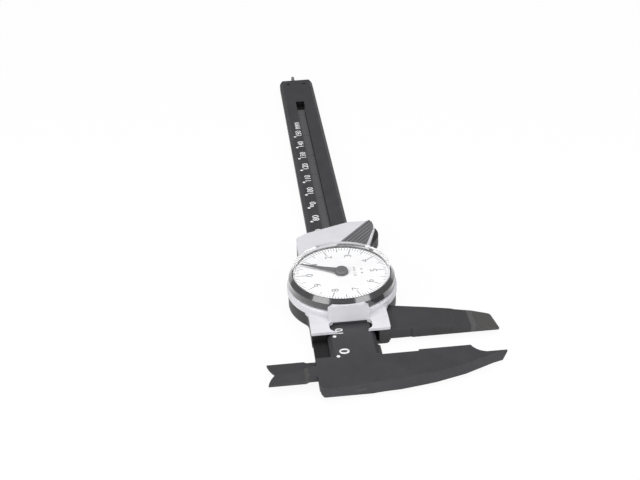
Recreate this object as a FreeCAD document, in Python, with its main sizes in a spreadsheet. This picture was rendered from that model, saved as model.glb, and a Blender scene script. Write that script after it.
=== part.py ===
import FreeCAD, Part
import math
import os
import Sketcher

# Frame: X runs along the beam from the fixed measuring face, +Y points to the inside jaws,
# Z is up from the back of the fixed head. Lengths are millimetres.
# Slider pieces are drawn in the slider's own frame, whose X starts at the moving measuring face.
# Pointer and bezel pieces are drawn about the dial's axis.

SIZES = {
    # Jaw opening at rest, travel per turn of the pointer
    "opening": 10.7,
    "turn_travel": 10.0,
    # Beam bar
    "beam_half": 7.3,
    "beam_top": 4.0,
    "beam_back": 0.35,
    "beam_length": 209.0,
    "beam_bevel": 1.2,
    "beam_corner": 2.0,
    "peg_hole_inset": 4.2,
    "peg_spread": 3.5,
    "peg_hole_radius": 0.85,
    # Rack channel in the beam
    "channel_left": 1.95,
    "channel_lip": 1.25,
    "channel_floor": 1.9,
    "channel_start": 19.0,
    "channel_end": 178.5,
    "lip_underside": 3.25,
    "rack_wall": 3.9,
    "well_length": 6.8,
    "well_right": 1.6,
    "well_floor": 1.6,
    # Groove for the depth rod in the beam's back
    "groove_centre": 0.7,
    "groove_half": 0.9,
    "groove_roof": 1.45,
    "groove_start": 38.0,
    # Fixed head and outside jaw
    "head_left": 12.1,
    "head_length": 14.4,
    "head_corner": 2.0,
    "head_edge": 0.9,
    "head_wall": 1.0,
    "head_lift": 1.8,
    "head_slant": 0.1,
    "head_side_left": 3.6,
    "waist_depth": 6.4,
    "head_foot": 1.0,
    "head_waist": 13.1,
    "heel_length": 12.8,
    "heel_depth": 11.5,
    "jaw_side_length": 11.1,
    "jaw_side_depth": 22.0,
    "jaw_low_length": 8.8,
    "jaw_low_depth": 31.0,
    "jaw_neck_length": 5.1,
    "jaw_neck_depth": 40.0,
    "nose_length": 3.9,
    "nose_depth": 44.3,
    "nose_slant": 0.05,
    "nose_rake": 1.6,
    "nose_rake_top": 3.2,
    "notch_end": 38.2,
    "notch_start": 34.2,
    "notch_radius": 5.5,
    "face_top": 18.6,
    "fixed_relief": 0.7,
    "root_width": 0.7,
    "root_flat": 5.2,
    "root_length": 5.9,
    "jaw_thinning": 0.6,
    # Inside blades, fixed above and moving below the parting plane
    "blade_edge": 9.0,
    "blade_width": 5.35,
    "blade_relief": 0.6,
    "blade_relief_top": 14.6,
    "blade_foot": 15.5,
    "blade_shoulder": 23.4,
    "blade_tip": 26.4,
    "blade_curve": 9.5,
    "parting": 1.95,
    "blade_step": 3.2,
    "blade_step_reach": 0.3,
    "blade_tip_top": 2.55,
    "blade_tip_drop": 0.6,
    "arm_top": 1.75,
    "arm_bottom": 0.35,
    "arm_inner": 7.35,
    "arm_gap": 0.2,
    "arm_outer": 11.8,
    "arm_root": 6.0,
    # Slider frame
    "front_gap": 0.1,
    "slider_half": 12.0,
    "frame_bottom": 0.25,
    "frame_top": 4.3,
    "web_top": 5.0,
    "web_half": 10.4,
    "way_left": 7.45,
    "way_right": 8.6,
    "way_roof": 4.15,
    "window_length": 5.15,
    "window_left": 6.4,
    "window_right": 6.8,
    "window_corner": 1.9,
    "dial_front": 6.6,
    "drum_margin": 0.4,
    "drum_blend": 4.0,
    "rear_left": 53.4,
    "rear_notch": 56.2,
    "rear_notch_left": 8.3,
    "rear_right": 61.6,
    "rear_right_depth": 6.75,
    "lobe_foot_length": 52.3,
    "lobe_foot_depth": 14.6,
    "lobe_side_length": 53.6,
    "lobe_side_depth": 15.6,
    "lobe_end_inset": 0.2,
    "lobe_end_depth": 16.1,
    "lobe_radius": 8.6,
    "lobe_corner": 0.8,
    "lobe_top": 4.0,
    "flare_top": 5.9,
    "flare_play": 0.1,
    # Moving outside jaw
    "moving_bottom": 0.7,
    "moving_top": 3.8,
    "moving_relief": 0.3,
    "moving_root": 13.4,
    "moving_root_depth": 14.0,
    "moving_mid_length": 11.0,
    "moving_mid_depth": 24.5,
    "moving_low_length": 8.65,
    "moving_low_depth": 33.5,
    "moving_end_length": 7.75,
    "moving_end_depth": 44.4,
    "moving_tip": 0.5,
    "moving_tip_slant": 0.25,
    "moving_tip_depth": 45.7,
    "moving_end_corner": 1.0,
    "moving_bevel_start": 32.0,
    "moving_bevel_knee": 38.5,
    "moving_knee_drop": 0.9,
    "moving_bevel_drop": 2.7,
    # Back plate and its screws
    "plate_bottom": -1.0,
    "plate_length": 49.0,
    "plate_half": 11.9,
    "plate_corner": 1.2,
    "plate_edge": 0.3,
    "foot_gap": 0.4,
    "plate_screw_inset": 5.0,
    "plate_screw_side": 10.25,
    "plate_screw_radius": 0.55,
    "plate_screw_head": 1.05,
    "plate_screw_head_height": 0.6,
    "plate_screw_top": 3.0,
    "head_sink": 0.05,
    # Gib in the gap at the beam's right edge
    "gib_gap": 0.1,
    "gib_thickness": 0.5,
    "gib_start": 6.2,
    "gib_end": 47.0,
    "gib_bottom": 0.5,
    "gib_height": 2.1,
    "gib_spring_thickness": 0.15,
    # Depth rod
    "rod_half": 0.7,
    "rod_top": 1.35,
    "rod_bottom": 0.45,
    "rod_start": 38.6,
    "rod_foot_length": 6.0,
    "rod_notch": 2.2,
    "rod_notch_depth": 0.25,
    "rod_screw_radius": 0.3,
    "rod_screw_head": 0.6,
    "rod_screw_spacing": 3.0,
    "rod_screw_cover": 0.2,
    # End stop
    "stop_length": 8.8,
    "stop_bottom": -0.55,
    "stop_half": 6.4,
    "stop_inset": 0.8,
    "peg_radius": 0.8,
    "peg_top": 1.8,
    # Top cover
    "cover_half": 12.05,
    "cover_top": 5.7,
    "front_lip": 5.2,
    "cover_wall": 1.3,
    "cover_edge": 0.45,
    "skirt_margin": 0.25,
    "skirt_top": 7.6,
    "skirt_bevel": 0.5,
    "cover_play": 0.3,
    "web_play": 0.1,
    "deck_top": 7.0,
    "deck_skin": 1.0,
    "deck_left": 12.0,
    "deck_corner": 2.0,
    "rear_overhang": 0.5,
    "flare_start": 45.8,
    "flare_length": 56.2,
    "flare_depth": 15.35,
    "tip_side_length": 60.3,
    "tip_side_depth": 15.0,
    "tip_rear_length": 61.95,
    "tip_rear_depth": 13.3,
    "tip_radius": 1.8,
    "tab_half": 6.25,
    "tab_reach": 1.2,
    "tab_foot": 5.6,
    "tab_shoulder": 9.25,
    "tab_corner": 1.35,
    "tab_top": 10.5,
    "tab_lip": 0.75,
    "prong_left": 4.2,
    "prong_right": 5.3,
    "prong_reach": 2.4,
    "prong_radius": 2.4,
    "bezel_gap": 0.3,
    # Cover screws
    "cover_screw_radius": 0.5,
    "cover_screw_head": 0.85,
    "cover_screw_head_height": 0.7,
    "cover_screw_reach": 1.1,
    "cover_screw_inset": 1.0,
    "deck_screw_length": 54.0,
    "deck_screw_side": 9.2,
    # Thumb grip
    "grip_top": 7.25,
    "grip_seat": 6.4,
    "grip_margin": 6.0,
    "grip_apex_depth": 0.7,
    "grip_foot_depth": 10.6,
    "grip_rim": 0.43,
    "grip_end_depth": 14.5,
    "grip_play": 0.05,
    "rib_pitch": 1.25,
    "rib_width": 0.55,
    "rib_height": 0.3,
    # Movement housing
    "base_radius": 15.0,
    "base_top": 6.1,
    "rim_wall": 1.1,
    "rim_top": 9.6,
    "wire_bottom": 8.65,
    "wire_top": 8.95,
    "wire_seat": 0.4,
    "wire_reach": 0.3,
    "wire_play": 0.15,
    "wire_split": 3.0,
    "friction_height": 0.25,
    "friction_width": 0.7,
    "friction_inset": 0.15,
    "wire_gap": 0.02,
    "movement_screw_inset": 3.8,
    "movement_screw_radius": 0.5,
    "movement_screw_head": 1.0,
    "movement_screw_head_height": 0.6,
    "movement_screw_bottom": 2.8,
    "post_spread": 6.5,
    "post_radius": 1.1,
    "bridge_bottom": 8.3,
    "bridge_top": 9.1,
    "bridge_half": 1.7,
    "bridge_hub": 2.8,
    "bridge_end": 1.9,
    "bridge_screw_radius": 0.45,
    "bridge_screw_head": 0.9,
    "bridge_screw_head_height": 0.5,
    "bridge_screw_reach": 1.3,
    "bush_wall": 0.65,
    "bush_flange": 0.5,
    "bush_flange_height": 0.3,
    "bush_overhang": 0.05,
    "frame_bore_gap": 0.3,
    "running_gap": 0.05,
    # Pointer train
    "arbor_radius": 0.6,
    "arbor_bottom": 1.98,
    "arbor_top": 12.1,
    "pinion_bottom": 2.02,
    "pinion_height": 0.5,
    "pinion_gap": 0.05,
    "teeth": 12,
    "pressure_angle": 20.0,
    "pinion_addendum": 0.18,
    "pinion_dedendum": 0.25,
    "rack_addendum": 0.17,
    "rack_dedendum": 0.27,
    "backlash": 0.05,
    "rack_top": 3.2,
    "sleeve_radius": 1.0,
    "sleeve_top": 6.9,
    "spring_gap": 0.1,
    "spring_height": 0.35,
    "spring_thickness": 0.14,
    "spring_turns": 3.0,
    "spring_outer": 3.9,
    "carrier_gap": 0.25,
    "carrier_height": 0.35,
    "carrier_radius": 4.5,
    "carrier_hub": 1.2,
    "carrier_peg": 0.3,
    "needle_bottom": 11.65,
    "needle_thickness": 0.2,
    "needle_inset": 1.7,
    "needle_root": 1.9,
    "needle_root_half": 1.25,
    "needle_mid": 6.6,
    "needle_mid_half": 0.62,
    "needle_tip_half": 0.2,
    "hub_radius": 2.15,
    "hub_waist": 0.42,
    "hub_taper": 0.35,
    "hub_top": 12.5,
    "hub_bottom": 11.15,
    # Bezel, dial plate and crystal
    "bezel_bottom": 8.0,
    "bezel_wall": 1.65,
    "flange_top": 10.15,
    "bezel_top": 11.6,
    "bezel_slope": 1.05,
    "bezel_rim": 0.25,
    "bezel_round": 0.2,
    "bezel_play": 0.15,
    "ledge_bottom": 10.05,
    "ledge_top": 10.6,
    "ledge_reach": 0.6,
    "dial_thickness": 0.4,
    "dial_play": 0.07,
    "dial_hole": 1.5,
    "crystal_play": 0.03,
    "crystal_wall": 0.7,
    "crystal_top": 13.7,
    "crystal_skin": 0.8,
    "crystal_edge": 0.5,
}


class Size:
    """A number that also knows the expression by which it follows from the sheet."""

    def __init__(self, number, text):
        self.number = number
        self.text = text

    def joined(self, other, sign, number):
        return Size(number, "(%s %s %s)" % (self.text, sign, text_of(other)))

    def __add__(self, other):
        return self.joined(other, "+", self.number + number_of(other))

    def __sub__(self, other):
        return self.joined(other, "-", self.number - number_of(other))

    def __mul__(self, other):
        return self.joined(other, "*", self.number * number_of(other))

    def __truediv__(self, other):
        return self.joined(other, "/", self.number / number_of(other))

    def __radd__(self, other):
        return as_size(other) + self

    def __rsub__(self, other):
        return as_size(other) - self

    def __rmul__(self, other):
        return as_size(other) * self

    def __neg__(self):
        return Size(-self.number, "(-%s)" % self.text)

    def __float__(self):
        return float(self.number)


def number_of(value):
    return value.number if isinstance(value, Size) else float(value)


def text_of(value):
    return value.text if isinstance(value, Size) else "(%r)" % value


def as_size(value):
    return value if isinstance(value, Size) else Size(float(value), text_of(value))


def root(value):
    return Size(math.sqrt(number_of(value)), "sqrt(%s)" % text_of(value))


class Sheet:
    """Reads each alias of the spreadsheet as a Size."""

    def __init__(self, document):
        self.cells = document.addObject("Spreadsheet::Sheet", "Sizes")
        for row, (alias, value) in enumerate(SIZES.items(), start=1):
            self.cells.set("A%d" % row, alias)
            self.cells.set("B%d" % row, repr(value))
            self.cells.setAlias("B%d" % row, alias)
        document.recompute()

    def __getattr__(self, alias):
        if alias not in SIZES:
            raise AttributeError(alias)
        return Size(float(self.cells.get(alias)), "Sizes." + alias)


doc = FreeCAD.newDocument("DialCaliper")
s = Sheet(doc)
PIECES = []

# Sizes that follow from the ones above
BEZEL_BORE = s.base_radius + s.bezel_play
BEZEL_RADIUS = BEZEL_BORE + s.bezel_wall
BEZEL_TOP_RADIUS = BEZEL_RADIUS - s.bezel_slope
CRYSTAL_BORE = BEZEL_TOP_RADIUS - s.bezel_rim
CRYSTAL_RADIUS = CRYSTAL_BORE - s.crystal_play
DIAL_RADIUS = CRYSTAL_RADIUS - s.dial_play
DIAL_X = s.dial_front + BEZEL_RADIUS
DRUM_RADIUS = BEZEL_RADIUS + s.drum_margin
SKIRT_RADIUS = DRUM_RADIUS + s.skirt_margin
COVER_BORE = s.base_radius + s.cover_play

# Cuts run this far past the material they open
PAST = 1
HAIR = 0.01

# Width and depth of a screw's slot as shares of its head
SLOT_SHARE = 0.15
SLOT_DEPTH_SHARE = 0.45

# Straight steps in one turn of the flat spiral
STEPS_PER_TURN = 24


# Helpers

def bind(thing, path, value):
    """Ties a property of an object to the sheet."""
    thing.setExpression(path, as_size(value).text)


def body(label, frame="beam"):
    """A new piece, placed in the beam's, the slider's, the pointer's or the bezel's frame."""
    piece = doc.addObject("PartDesign::Body", label)
    piece.Label = label
    place(piece, frame)
    PIECES.append(piece)
    return piece


def place(piece, frame):
    if frame == "slider":
        bind(piece, "Placement.Base.x", s.opening)
    if frame in ("pointer", "bezel"):
        bind(piece, "Placement.Base.x", s.opening + DIAL_X)
    if frame == "pointer":
        piece.Placement = FreeCAD.Placement(FreeCAD.Vector(), FreeCAD.Rotation(FreeCAD.Vector(0, 0, 1), 1))
        angle = -s.opening / s.turn_travel * 360
        piece.setExpression("Placement.Rotation.Angle", angle.text + " * 1 deg")


def shape_piece(label, frame, shape):
    """A piece whose shape follows a formula that sketches don't have."""
    piece = doc.addObject("Part::Feature", label)
    piece.Label = label
    piece.Shape = shape
    if frame == "beam":
        piece.Placement = FreeCAD.Placement()
    place(piece, frame)
    PIECES.append(piece)
    return piece


def origin_plane(piece, role):
    return [item for item in piece.Origin.OriginFeatures if item.Role == role + "_Plane"][0]


def arc_between(start, end, radius, turn):
    """The arc from start to end; turn is 1 for a centre on the left of the way, -1 on the right."""
    across = end - start
    half = across.Length / 2
    height = math.sqrt(max(radius * radius - half * half, 0.0))
    left = FreeCAD.Vector(-across.y, across.x, 0).normalize()
    centre = start + across * 0.5 + left * (height * turn)
    first, last = (start, end) if turn > 0 else (end, start)
    begin = math.atan2(first.y - centre.y, first.x - centre.x)
    finish = math.atan2(last.y - centre.y, last.x - centre.x)
    if finish < begin:
        finish += 2 * math.pi
    circle = Part.Circle(centre, FreeCAD.Vector(0, 0, 1), radius)
    return Part.ArcOfCircle(circle, begin, finish)


def fix_point(sketch, rules, ties, geometry, point, x, y):
    for kind, value in (("DistanceX", x), ("DistanceY", y)):
        ties.append((len(rules), value))
        rules.append(Sketcher.Constraint(kind, -1, 1, geometry, point, number_of(value)))


def draw_outline(sketch, points):
    """A closed outline. A point may name the arc to the next one as ("arc", radius, turn)."""
    spots = [FreeCAD.Vector(number_of(p[0]), number_of(p[1]), 0) for p in points]
    ends = []
    rules = []
    ties = []
    for index, point in enumerate(points):
        start = spots[index]
        end = spots[(index + 1) % len(points)]
        if len(point) > 2:
            radius, turn = point[3], point[4]
            sketch.addGeometry(arc_between(start, end, number_of(radius), turn), False)
            ends.append((1, 2) if turn > 0 else (2, 1))
        else:
            sketch.addGeometry(Part.LineSegment(start, end), False)
            ends.append((1, 2))
    for index, point in enumerate(points):
        following = (index + 1) % len(points)
        rules.append(Sketcher.Constraint("Coincident", index, ends[index][1], following, ends[following][0]))
        fix_point(sketch, rules, ties, index, ends[index][0], point[0], point[1])
        if len(point) > 2:
            ties.append((len(rules), point[3]))
            rules.append(Sketcher.Constraint("Radius", index, number_of(point[3])))
    apply_rules(sketch, rules, ties)


def draw_circles(sketch, circles):
    """Circles given as (x, y, radius)."""
    rules = []
    ties = []
    for index, (x, y, radius) in enumerate(circles):
        centre = FreeCAD.Vector(number_of(x), number_of(y), 0)
        sketch.addGeometry(Part.Circle(centre, FreeCAD.Vector(0, 0, 1), number_of(radius)), False)
        fix_point(sketch, rules, ties, index, 3, x, y)
        ties.append((len(rules), radius))
        rules.append(Sketcher.Constraint("Radius", index, number_of(radius)))
    apply_rules(sketch, rules, ties)


def apply_rules(sketch, rules, ties):
    sketch.addConstraint(rules)
    for index, value in ties:
        if isinstance(value, Size):
            bind(sketch, "Constraints[%d]" % index, value)


def new_sketch(piece, name, plane, offset):
    sketch = piece.newObject("Sketcher::SketchObject", name + "_sketch")
    sketch.AttachmentSupport = [(origin_plane(piece, plane), "")]
    sketch.MapMode = "FlatFace"
    bind(sketch, "AttachmentOffset.Base.z", offset)
    return sketch


def pad(piece, name, draw, shapes, low, high, plane="XY"):
    """Adds material between two heights along the plane's axis."""
    offset = low if plane != "XZ" else -as_size(high)
    sketch = new_sketch(piece, name, plane, offset)
    draw(sketch, shapes)
    feature = piece.newObject("PartDesign::Pad", name)
    feature.Profile = sketch
    bind(feature, "Length", as_size(high) - low)
    return settle(piece, feature, 1)


def cut(piece, name, draw, shapes, low, high, plane="XY"):
    """Takes material away between two heights along the plane's axis."""
    offset = high if plane != "XZ" else -as_size(low)
    sketch = new_sketch(piece, name, plane, offset)
    draw(sketch, shapes)
    feature = piece.newObject("PartDesign::Pocket", name)
    feature.Profile = sketch
    bind(feature, "Length", as_size(high) - low)
    return settle(piece, feature, -1)


def turn(piece, name, points):
    """A full turn about the Z axis of an outline of radii and heights."""
    sketch = new_sketch(piece, name, "XZ", 0)
    draw_outline(sketch, points)
    feature = piece.newObject("PartDesign::Revolution", name)
    feature.Profile = sketch
    feature.ReferenceAxis = (sketch, ["V_Axis"])
    feature.Angle = 360
    return settle(piece, feature, 1)


def settle(piece, feature, sign):
    """Checks that a feature adds or takes material as it should."""
    before = VOLUMES.get(piece.Name, 0.0)
    doc.recompute()
    after = feature.Shape.Volume
    if (after - before) * sign <= 0:
        raise RuntimeError("%s of %s changed nothing" % (feature.Name, piece.Label))
    VOLUMES[piece.Name] = after
    return feature


VOLUMES = {}


def box(x_low, x_high, y_low, y_high):
    return [(x_low, y_low), (x_high, y_low), (x_high, y_high), (x_low, y_high)]


def upright_at(edge, x, y):
    """True for an edge that stands along Z at the given place."""
    ends = [vertex.Point for vertex in edge.Vertexes]
    if len(ends) != 2 or abs(ends[0].z - ends[1].z) < 0.05:
        return False
    return all(math.hypot(p.x - number_of(x), p.y - number_of(y)) < 0.05 for p in ends)


def round_uprights(piece, name, places, radius):
    """Rounds the edges that stand at the given places."""
    return dress(piece, name, "PartDesign::Fillet", "Radius", radius,
                 lambda edge: any(upright_at(edge, x, y) for x, y in places))


def dress(piece, name, kind, field, size, wanted):
    """A fillet or chamfer on the wanted edges of the piece as it stands."""
    base = piece.Tip
    names = []
    for number, edge in enumerate(base.Shape.Edges, start=1):
        if wanted(edge):
            names.append("Edge%d" % number)
    feature = piece.newObject(kind, name)
    feature.Base = (base, names)
    bind(feature, field, size)
    doc.recompute()
    VOLUMES[piece.Name] = feature.Shape.Volume
    return feature


def level_edge(z, within=0.02):
    """Picks edges that lie at one height."""
    height = number_of(z)

    def wanted(edge):
        bound = edge.BoundBox
        return abs(bound.ZMin - height) < within and abs(bound.ZMax - height) < within
    return wanted


# Beam

def jaw_outline():
    """Plan of the fixed head and outside jaw."""
    return [
        (0, s.head_left),
        (-s.head_length, s.head_left),
        (-s.head_length + s.head_slant, s.head_side_left),
        (-s.head_waist, -s.waist_depth),
        (-s.heel_length, -s.heel_depth),
        (-s.jaw_side_length, -s.jaw_side_depth),
        (-s.jaw_low_length, -s.jaw_low_depth),
        (-s.jaw_neck_length, -s.jaw_neck_depth),
        (-s.nose_length, -s.nose_depth),
        (-s.nose_length + s.nose_slant, -s.notch_end, "arc", s.notch_radius, -1),
        (0, -s.notch_start),
        (0, -s.face_top),
        (-s.fixed_relief, -s.face_top),
        (-s.fixed_relief, -s.beam_half),
        (0, -s.beam_half),
    ]


def make_beam():
    piece = body("main_beam")
    bar = box(-PAST, s.beam_length, -s.beam_half, s.beam_half)
    pad(piece, "bar", draw_outline, bar, s.beam_back, s.beam_top)
    corners = [(s.beam_length, s.beam_half), (s.beam_length, -s.beam_half)]
    round_uprights(piece, "end_corners", corners, s.beam_corner)
    for side, name in ((1, "left_bevel"), (-1, "right_bevel")):
        edge = s.beam_half * side
        inner = (s.beam_half - s.beam_bevel) * side
        wedge = [(edge, s.beam_top), (inner, s.beam_top), (edge, s.beam_top - s.beam_bevel)]
        cut(piece, name, draw_outline, wedge, 0, s.beam_length, "YZ")
    pad(piece, "head", draw_outline, jaw_outline(), 0, s.beam_top)
    foot = box(-PAST, s.head_foot, -s.beam_half, s.beam_half)
    pad(piece, "head_foot", draw_outline, foot, 0, s.beam_back)
    round_uprights(piece, "head_corner", [(-s.head_length, s.head_left)], s.head_corner)
    add_root(piece)
    way = box(s.head_wall - s.head_length, PAST, s.beam_half, s.head_left + PAST)
    cut(piece, "arm_way", draw_outline, way, -PAST, s.parting)
    front = -s.head_length - HAIR
    wedge = [(front, s.head_edge), (front, -HAIR), (front + s.head_edge, -HAIR)]
    cut(piece, "head_lower_edge", draw_outline, wedge, -s.waist_depth, s.head_left + PAST, "XZ")
    side = s.head_left + HAIR
    wedge = [(side - s.head_lift, -HAIR), (side, -HAIR), (side, s.head_lift)]
    cut(piece, "head_lower_corner", draw_outline, wedge, front, s.head_wall - s.head_length + HAIR, "YZ")
    wedge = [(-s.face_top, -HAIR), (-s.moving_tip_depth, -HAIR), (-s.moving_tip_depth, s.jaw_thinning)]
    cut(piece, "jaw_thinning_cut", draw_outline, wedge, -s.head_length, PAST, "YZ")
    wedge = [
        (-s.nose_depth - PAST, 0),
        (s.nose_rake - s.nose_depth, 0),
        (-s.nose_depth, s.nose_rake_top),
        (-s.nose_depth - PAST, s.nose_rake_top),
    ]
    cut(piece, "nose_rake_cut", draw_outline, wedge, -s.head_length, PAST, "YZ")
    add_fixed_blade(piece)
    cut_channel(piece)
    low, high = s.groove_centre - s.groove_half, s.groove_centre + s.groove_half
    groove = box(s.groove_start, s.beam_length + PAST, low, high)
    cut(piece, "rod_groove", draw_outline, groove, 0, s.groove_roof)
    cut(piece, "peg_holes", draw_circles, peg_circles(s.peg_hole_radius), 0, s.beam_top)


def add_root(piece):
    """Wider foot of the bar's right side where it leaves the head."""
    side = -s.beam_half - s.root_width
    outline = [
        (-PAST, PAST - s.beam_half),
        (-PAST, side),
        (s.root_flat, side),
        (s.root_length, -s.beam_half),
        (s.root_length, PAST - s.beam_half),
    ]
    pad(piece, "bar_root", draw_outline, outline, s.beam_back, s.beam_top - s.beam_bevel)


def peg_circles(radius):
    return [(s.beam_length - s.peg_hole_inset, s.peg_spread * side, radius) for side in (1, -1)]


def add_fixed_blade(piece):
    """Upper blade of the inside jaws, flat below and stepped above."""
    edge = -s.blade_edge
    back = edge + s.blade_width
    outline = [
        (edge + s.blade_relief, s.head_left - PAST),
        (edge + s.blade_relief, s.blade_relief_top),
        (edge, s.blade_foot),
        (edge, s.blade_tip, "arc", s.blade_curve, -1),
        (back, s.blade_shoulder),
        (back, s.head_left - PAST),
    ]
    pad(piece, "fixed_blade", draw_outline, outline, s.parting, s.beam_top)
    above = [
        (s.blade_relief_top, s.beam_top + HAIR),
        (s.blade_relief_top, s.beam_top),
        (s.blade_foot + s.blade_step_reach, s.blade_step),
        (s.blade_tip + HAIR, s.blade_tip_top),
        (s.blade_tip + HAIR, s.beam_top + HAIR),
    ]
    cut(piece, "blade_step_cut", draw_outline, above, edge - PAST, back + PAST, "YZ")


def cut_channel(piece):
    """Open channel with its undercut for the rack and the deep well at its end."""
    open_part = box(s.channel_start, s.channel_end, -s.channel_lip, s.channel_left)
    cut(piece, "channel", draw_outline, open_part, s.channel_floor, s.beam_top)
    seat = box(-s.rack_wall, s.channel_left, s.channel_floor, s.lip_underside)
    cut(piece, "rack_seat", draw_outline, seat, s.channel_start, s.channel_end, "YZ")
    well = box(s.channel_end, s.channel_end + s.well_length, -s.well_right, s.channel_left)
    cut(piece, "well", draw_outline, well, s.well_floor, s.beam_top)


def pitch_radius():
    return number_of(s.turn_travel) / (2 * math.pi)


def rack_profile():
    """Toothed edge of the rack, seen from above, with one tooth under the dial at zero opening."""
    pitch = number_of(s.turn_travel / s.teeth)
    slope = math.tan(math.radians(number_of(s.pressure_angle)))
    half = pitch / 4 - number_of(s.backlash) / 4
    tip = -pitch_radius() + number_of(s.rack_addendum)
    root = -pitch_radius() - number_of(s.rack_dedendum)
    tip_half = half - number_of(s.rack_addendum) * slope
    root_half = half + number_of(s.rack_dedendum) * slope
    start = number_of(s.channel_start)
    end = number_of(s.channel_end)
    middle = number_of(DIAL_X)
    first = math.ceil((start - middle) / pitch + 0.5)
    last = math.floor((end - middle) / pitch - 0.5)
    points = [(start, -number_of(s.rack_wall)), (start, root)]
    for count in range(first, last + 1):
        x = middle + count * pitch
        points += [(x - root_half, root), (x - tip_half, tip), (x + tip_half, tip), (x + root_half, root)]
    points += [(end, root), (end, -number_of(s.rack_wall))]
    return points


def extruded(points, low, high):
    """A flat outline of straight edges, raised between two heights."""
    corners = [FreeCAD.Vector(x, y, number_of(low)) for x, y in points]
    face = Part.Face(Part.makePolygon(corners + corners[:1]))
    return face.extrude(FreeCAD.Vector(0, 0, number_of(high) - number_of(low)))


def make_rack():
    shape_piece("rack_strip", "beam", extruded(rack_profile(), s.channel_floor, s.rack_top))


def make_end_stop():
    piece = body("end_stop")
    end = s.beam_length - s.stop_inset
    outline = box(end - s.stop_length, end, -s.stop_half, s.stop_half)
    pad(piece, "stop_plate", draw_outline, outline, s.stop_bottom, s.beam_back)
    pad(piece, "pegs", draw_circles, peg_circles(s.peg_radius), s.stop_bottom, s.peg_top)


# Slider

def slider_outline(half, rear):
    """Plan of the slider, with its slanted rear end pushed back by rear."""
    return [
        (s.front_gap, half),
        (s.rear_left + rear, half),
        (s.rear_notch + rear, s.rear_notch_left),
        (s.rear_right + rear, -s.rear_right_depth),
        (s.rear_right + rear, -half),
        (s.front_gap, -half),
    ]


def neck_fillets(half, radius, side):
    """Plan of the hollow fillet where a straight side runs into the round drum, ahead of the dial."""
    blend = s.drum_blend
    height = half + blend
    far = radius + blend
    reach = root(far * far - height * height)
    touch_x = DIAL_X - reach
    drum_x = DIAL_X - reach * radius / far
    return [
        (touch_x, half * side, "arc", blend, side),
        (drum_x, height * radius / far * side),
        (DIAL_X, 0),
    ]


def make_slider_frame():
    piece = body("slider_frame", "slider")
    pad(piece, "plan", draw_outline, slider_outline(s.slider_half, 0), s.frame_bottom, s.frame_top)
    pad(piece, "drum", draw_circles, [(DIAL_X, 0, DRUM_RADIUS)], s.frame_bottom, s.web_top)
    for side, name in ((1, "left_neck"), (-1, "right_neck")):
        neck = neck_fillets(s.slider_half, DRUM_RADIUS, side)
        pad(piece, name, draw_outline, neck, s.frame_bottom, s.frame_top)
    lobe_end = s.rear_right - s.lobe_end_inset
    lobe = [
        (s.flare_start, -s.slider_half + PAST),
        (s.flare_start, -s.slider_half),
        (s.lobe_foot_length, -s.lobe_foot_depth),
        (s.lobe_side_length, -s.lobe_side_depth, "arc", s.lobe_radius, 1),
        (lobe_end, -s.lobe_end_depth),
        (lobe_end, -s.slider_half + PAST),
    ]
    pad(piece, "thumb_lobe", draw_outline, lobe, s.frame_bottom, s.lobe_top)
    round_uprights(piece, "lobe_corner_round", [(lobe_end, -s.lobe_end_depth)], s.lobe_corner)
    side = -s.slider_half - s.flare_play
    slant = (s.flare_length - s.flare_start) / (s.flare_depth - s.deck_left)
    flare = [
        (s.flare_start + slant * s.flare_play, side),
        (s.flare_length, -s.flare_depth),
        (s.tip_side_length, -s.tip_side_depth),
        (lobe_end, -s.tip_rear_depth),
        (lobe_end, side),
    ]
    pad(piece, "thumb_flare", draw_outline, flare, s.frame_bottom, s.flare_top)
    web = box(s.window_length, s.rear_left - PAST, -s.web_half, s.web_half)
    pad(piece, "web", draw_outline, web, s.frame_top, s.web_top)
    add_moving_jaw(piece)
    way = box(-s.way_right, s.way_left, -PAST, s.way_roof)
    cut(piece, "beam_way", draw_outline, way, s.front_gap - PAST, s.rear_right + PAST, "YZ")
    window = box(s.front_gap - PAST, s.window_length, -s.way_right, s.way_left)
    cut(piece, "number_window", draw_outline, window, s.way_roof - HAIR, s.web_top + PAST)
    add_moving_blade(piece)
    bore = [(DIAL_X, 0, s.sleeve_radius + s.frame_bore_gap)]
    cut(piece, "arbor_hole", draw_circles, bore, s.way_roof - HAIR, s.web_top)
    pilots = [(x, y, s.plate_screw_radius) for x, y in plate_screw_places()]
    cut(piece, "plate_screw_holes", draw_circles, pilots, s.frame_bottom, s.plate_screw_top)
    shafts = [(x, y, s.cover_screw_radius) for x, y in cover_screw_places()]
    cut(piece, "cover_screw_holes", draw_circles, shafts, s.frame_bottom, s.web_top)
    heads = [(x, y, s.cover_screw_head) for x, y in cover_screw_places()]
    sink_top = s.frame_bottom + s.cover_screw_head_height
    cut(piece, "cover_screw_sinks", draw_circles, heads, s.frame_bottom, sink_top)
    pilots = [(x, y, s.movement_screw_radius) for x, y in movement_screw_places()]
    cut(piece, "movement_screw_holes", draw_circles, pilots, s.movement_screw_bottom, s.web_top)


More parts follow.
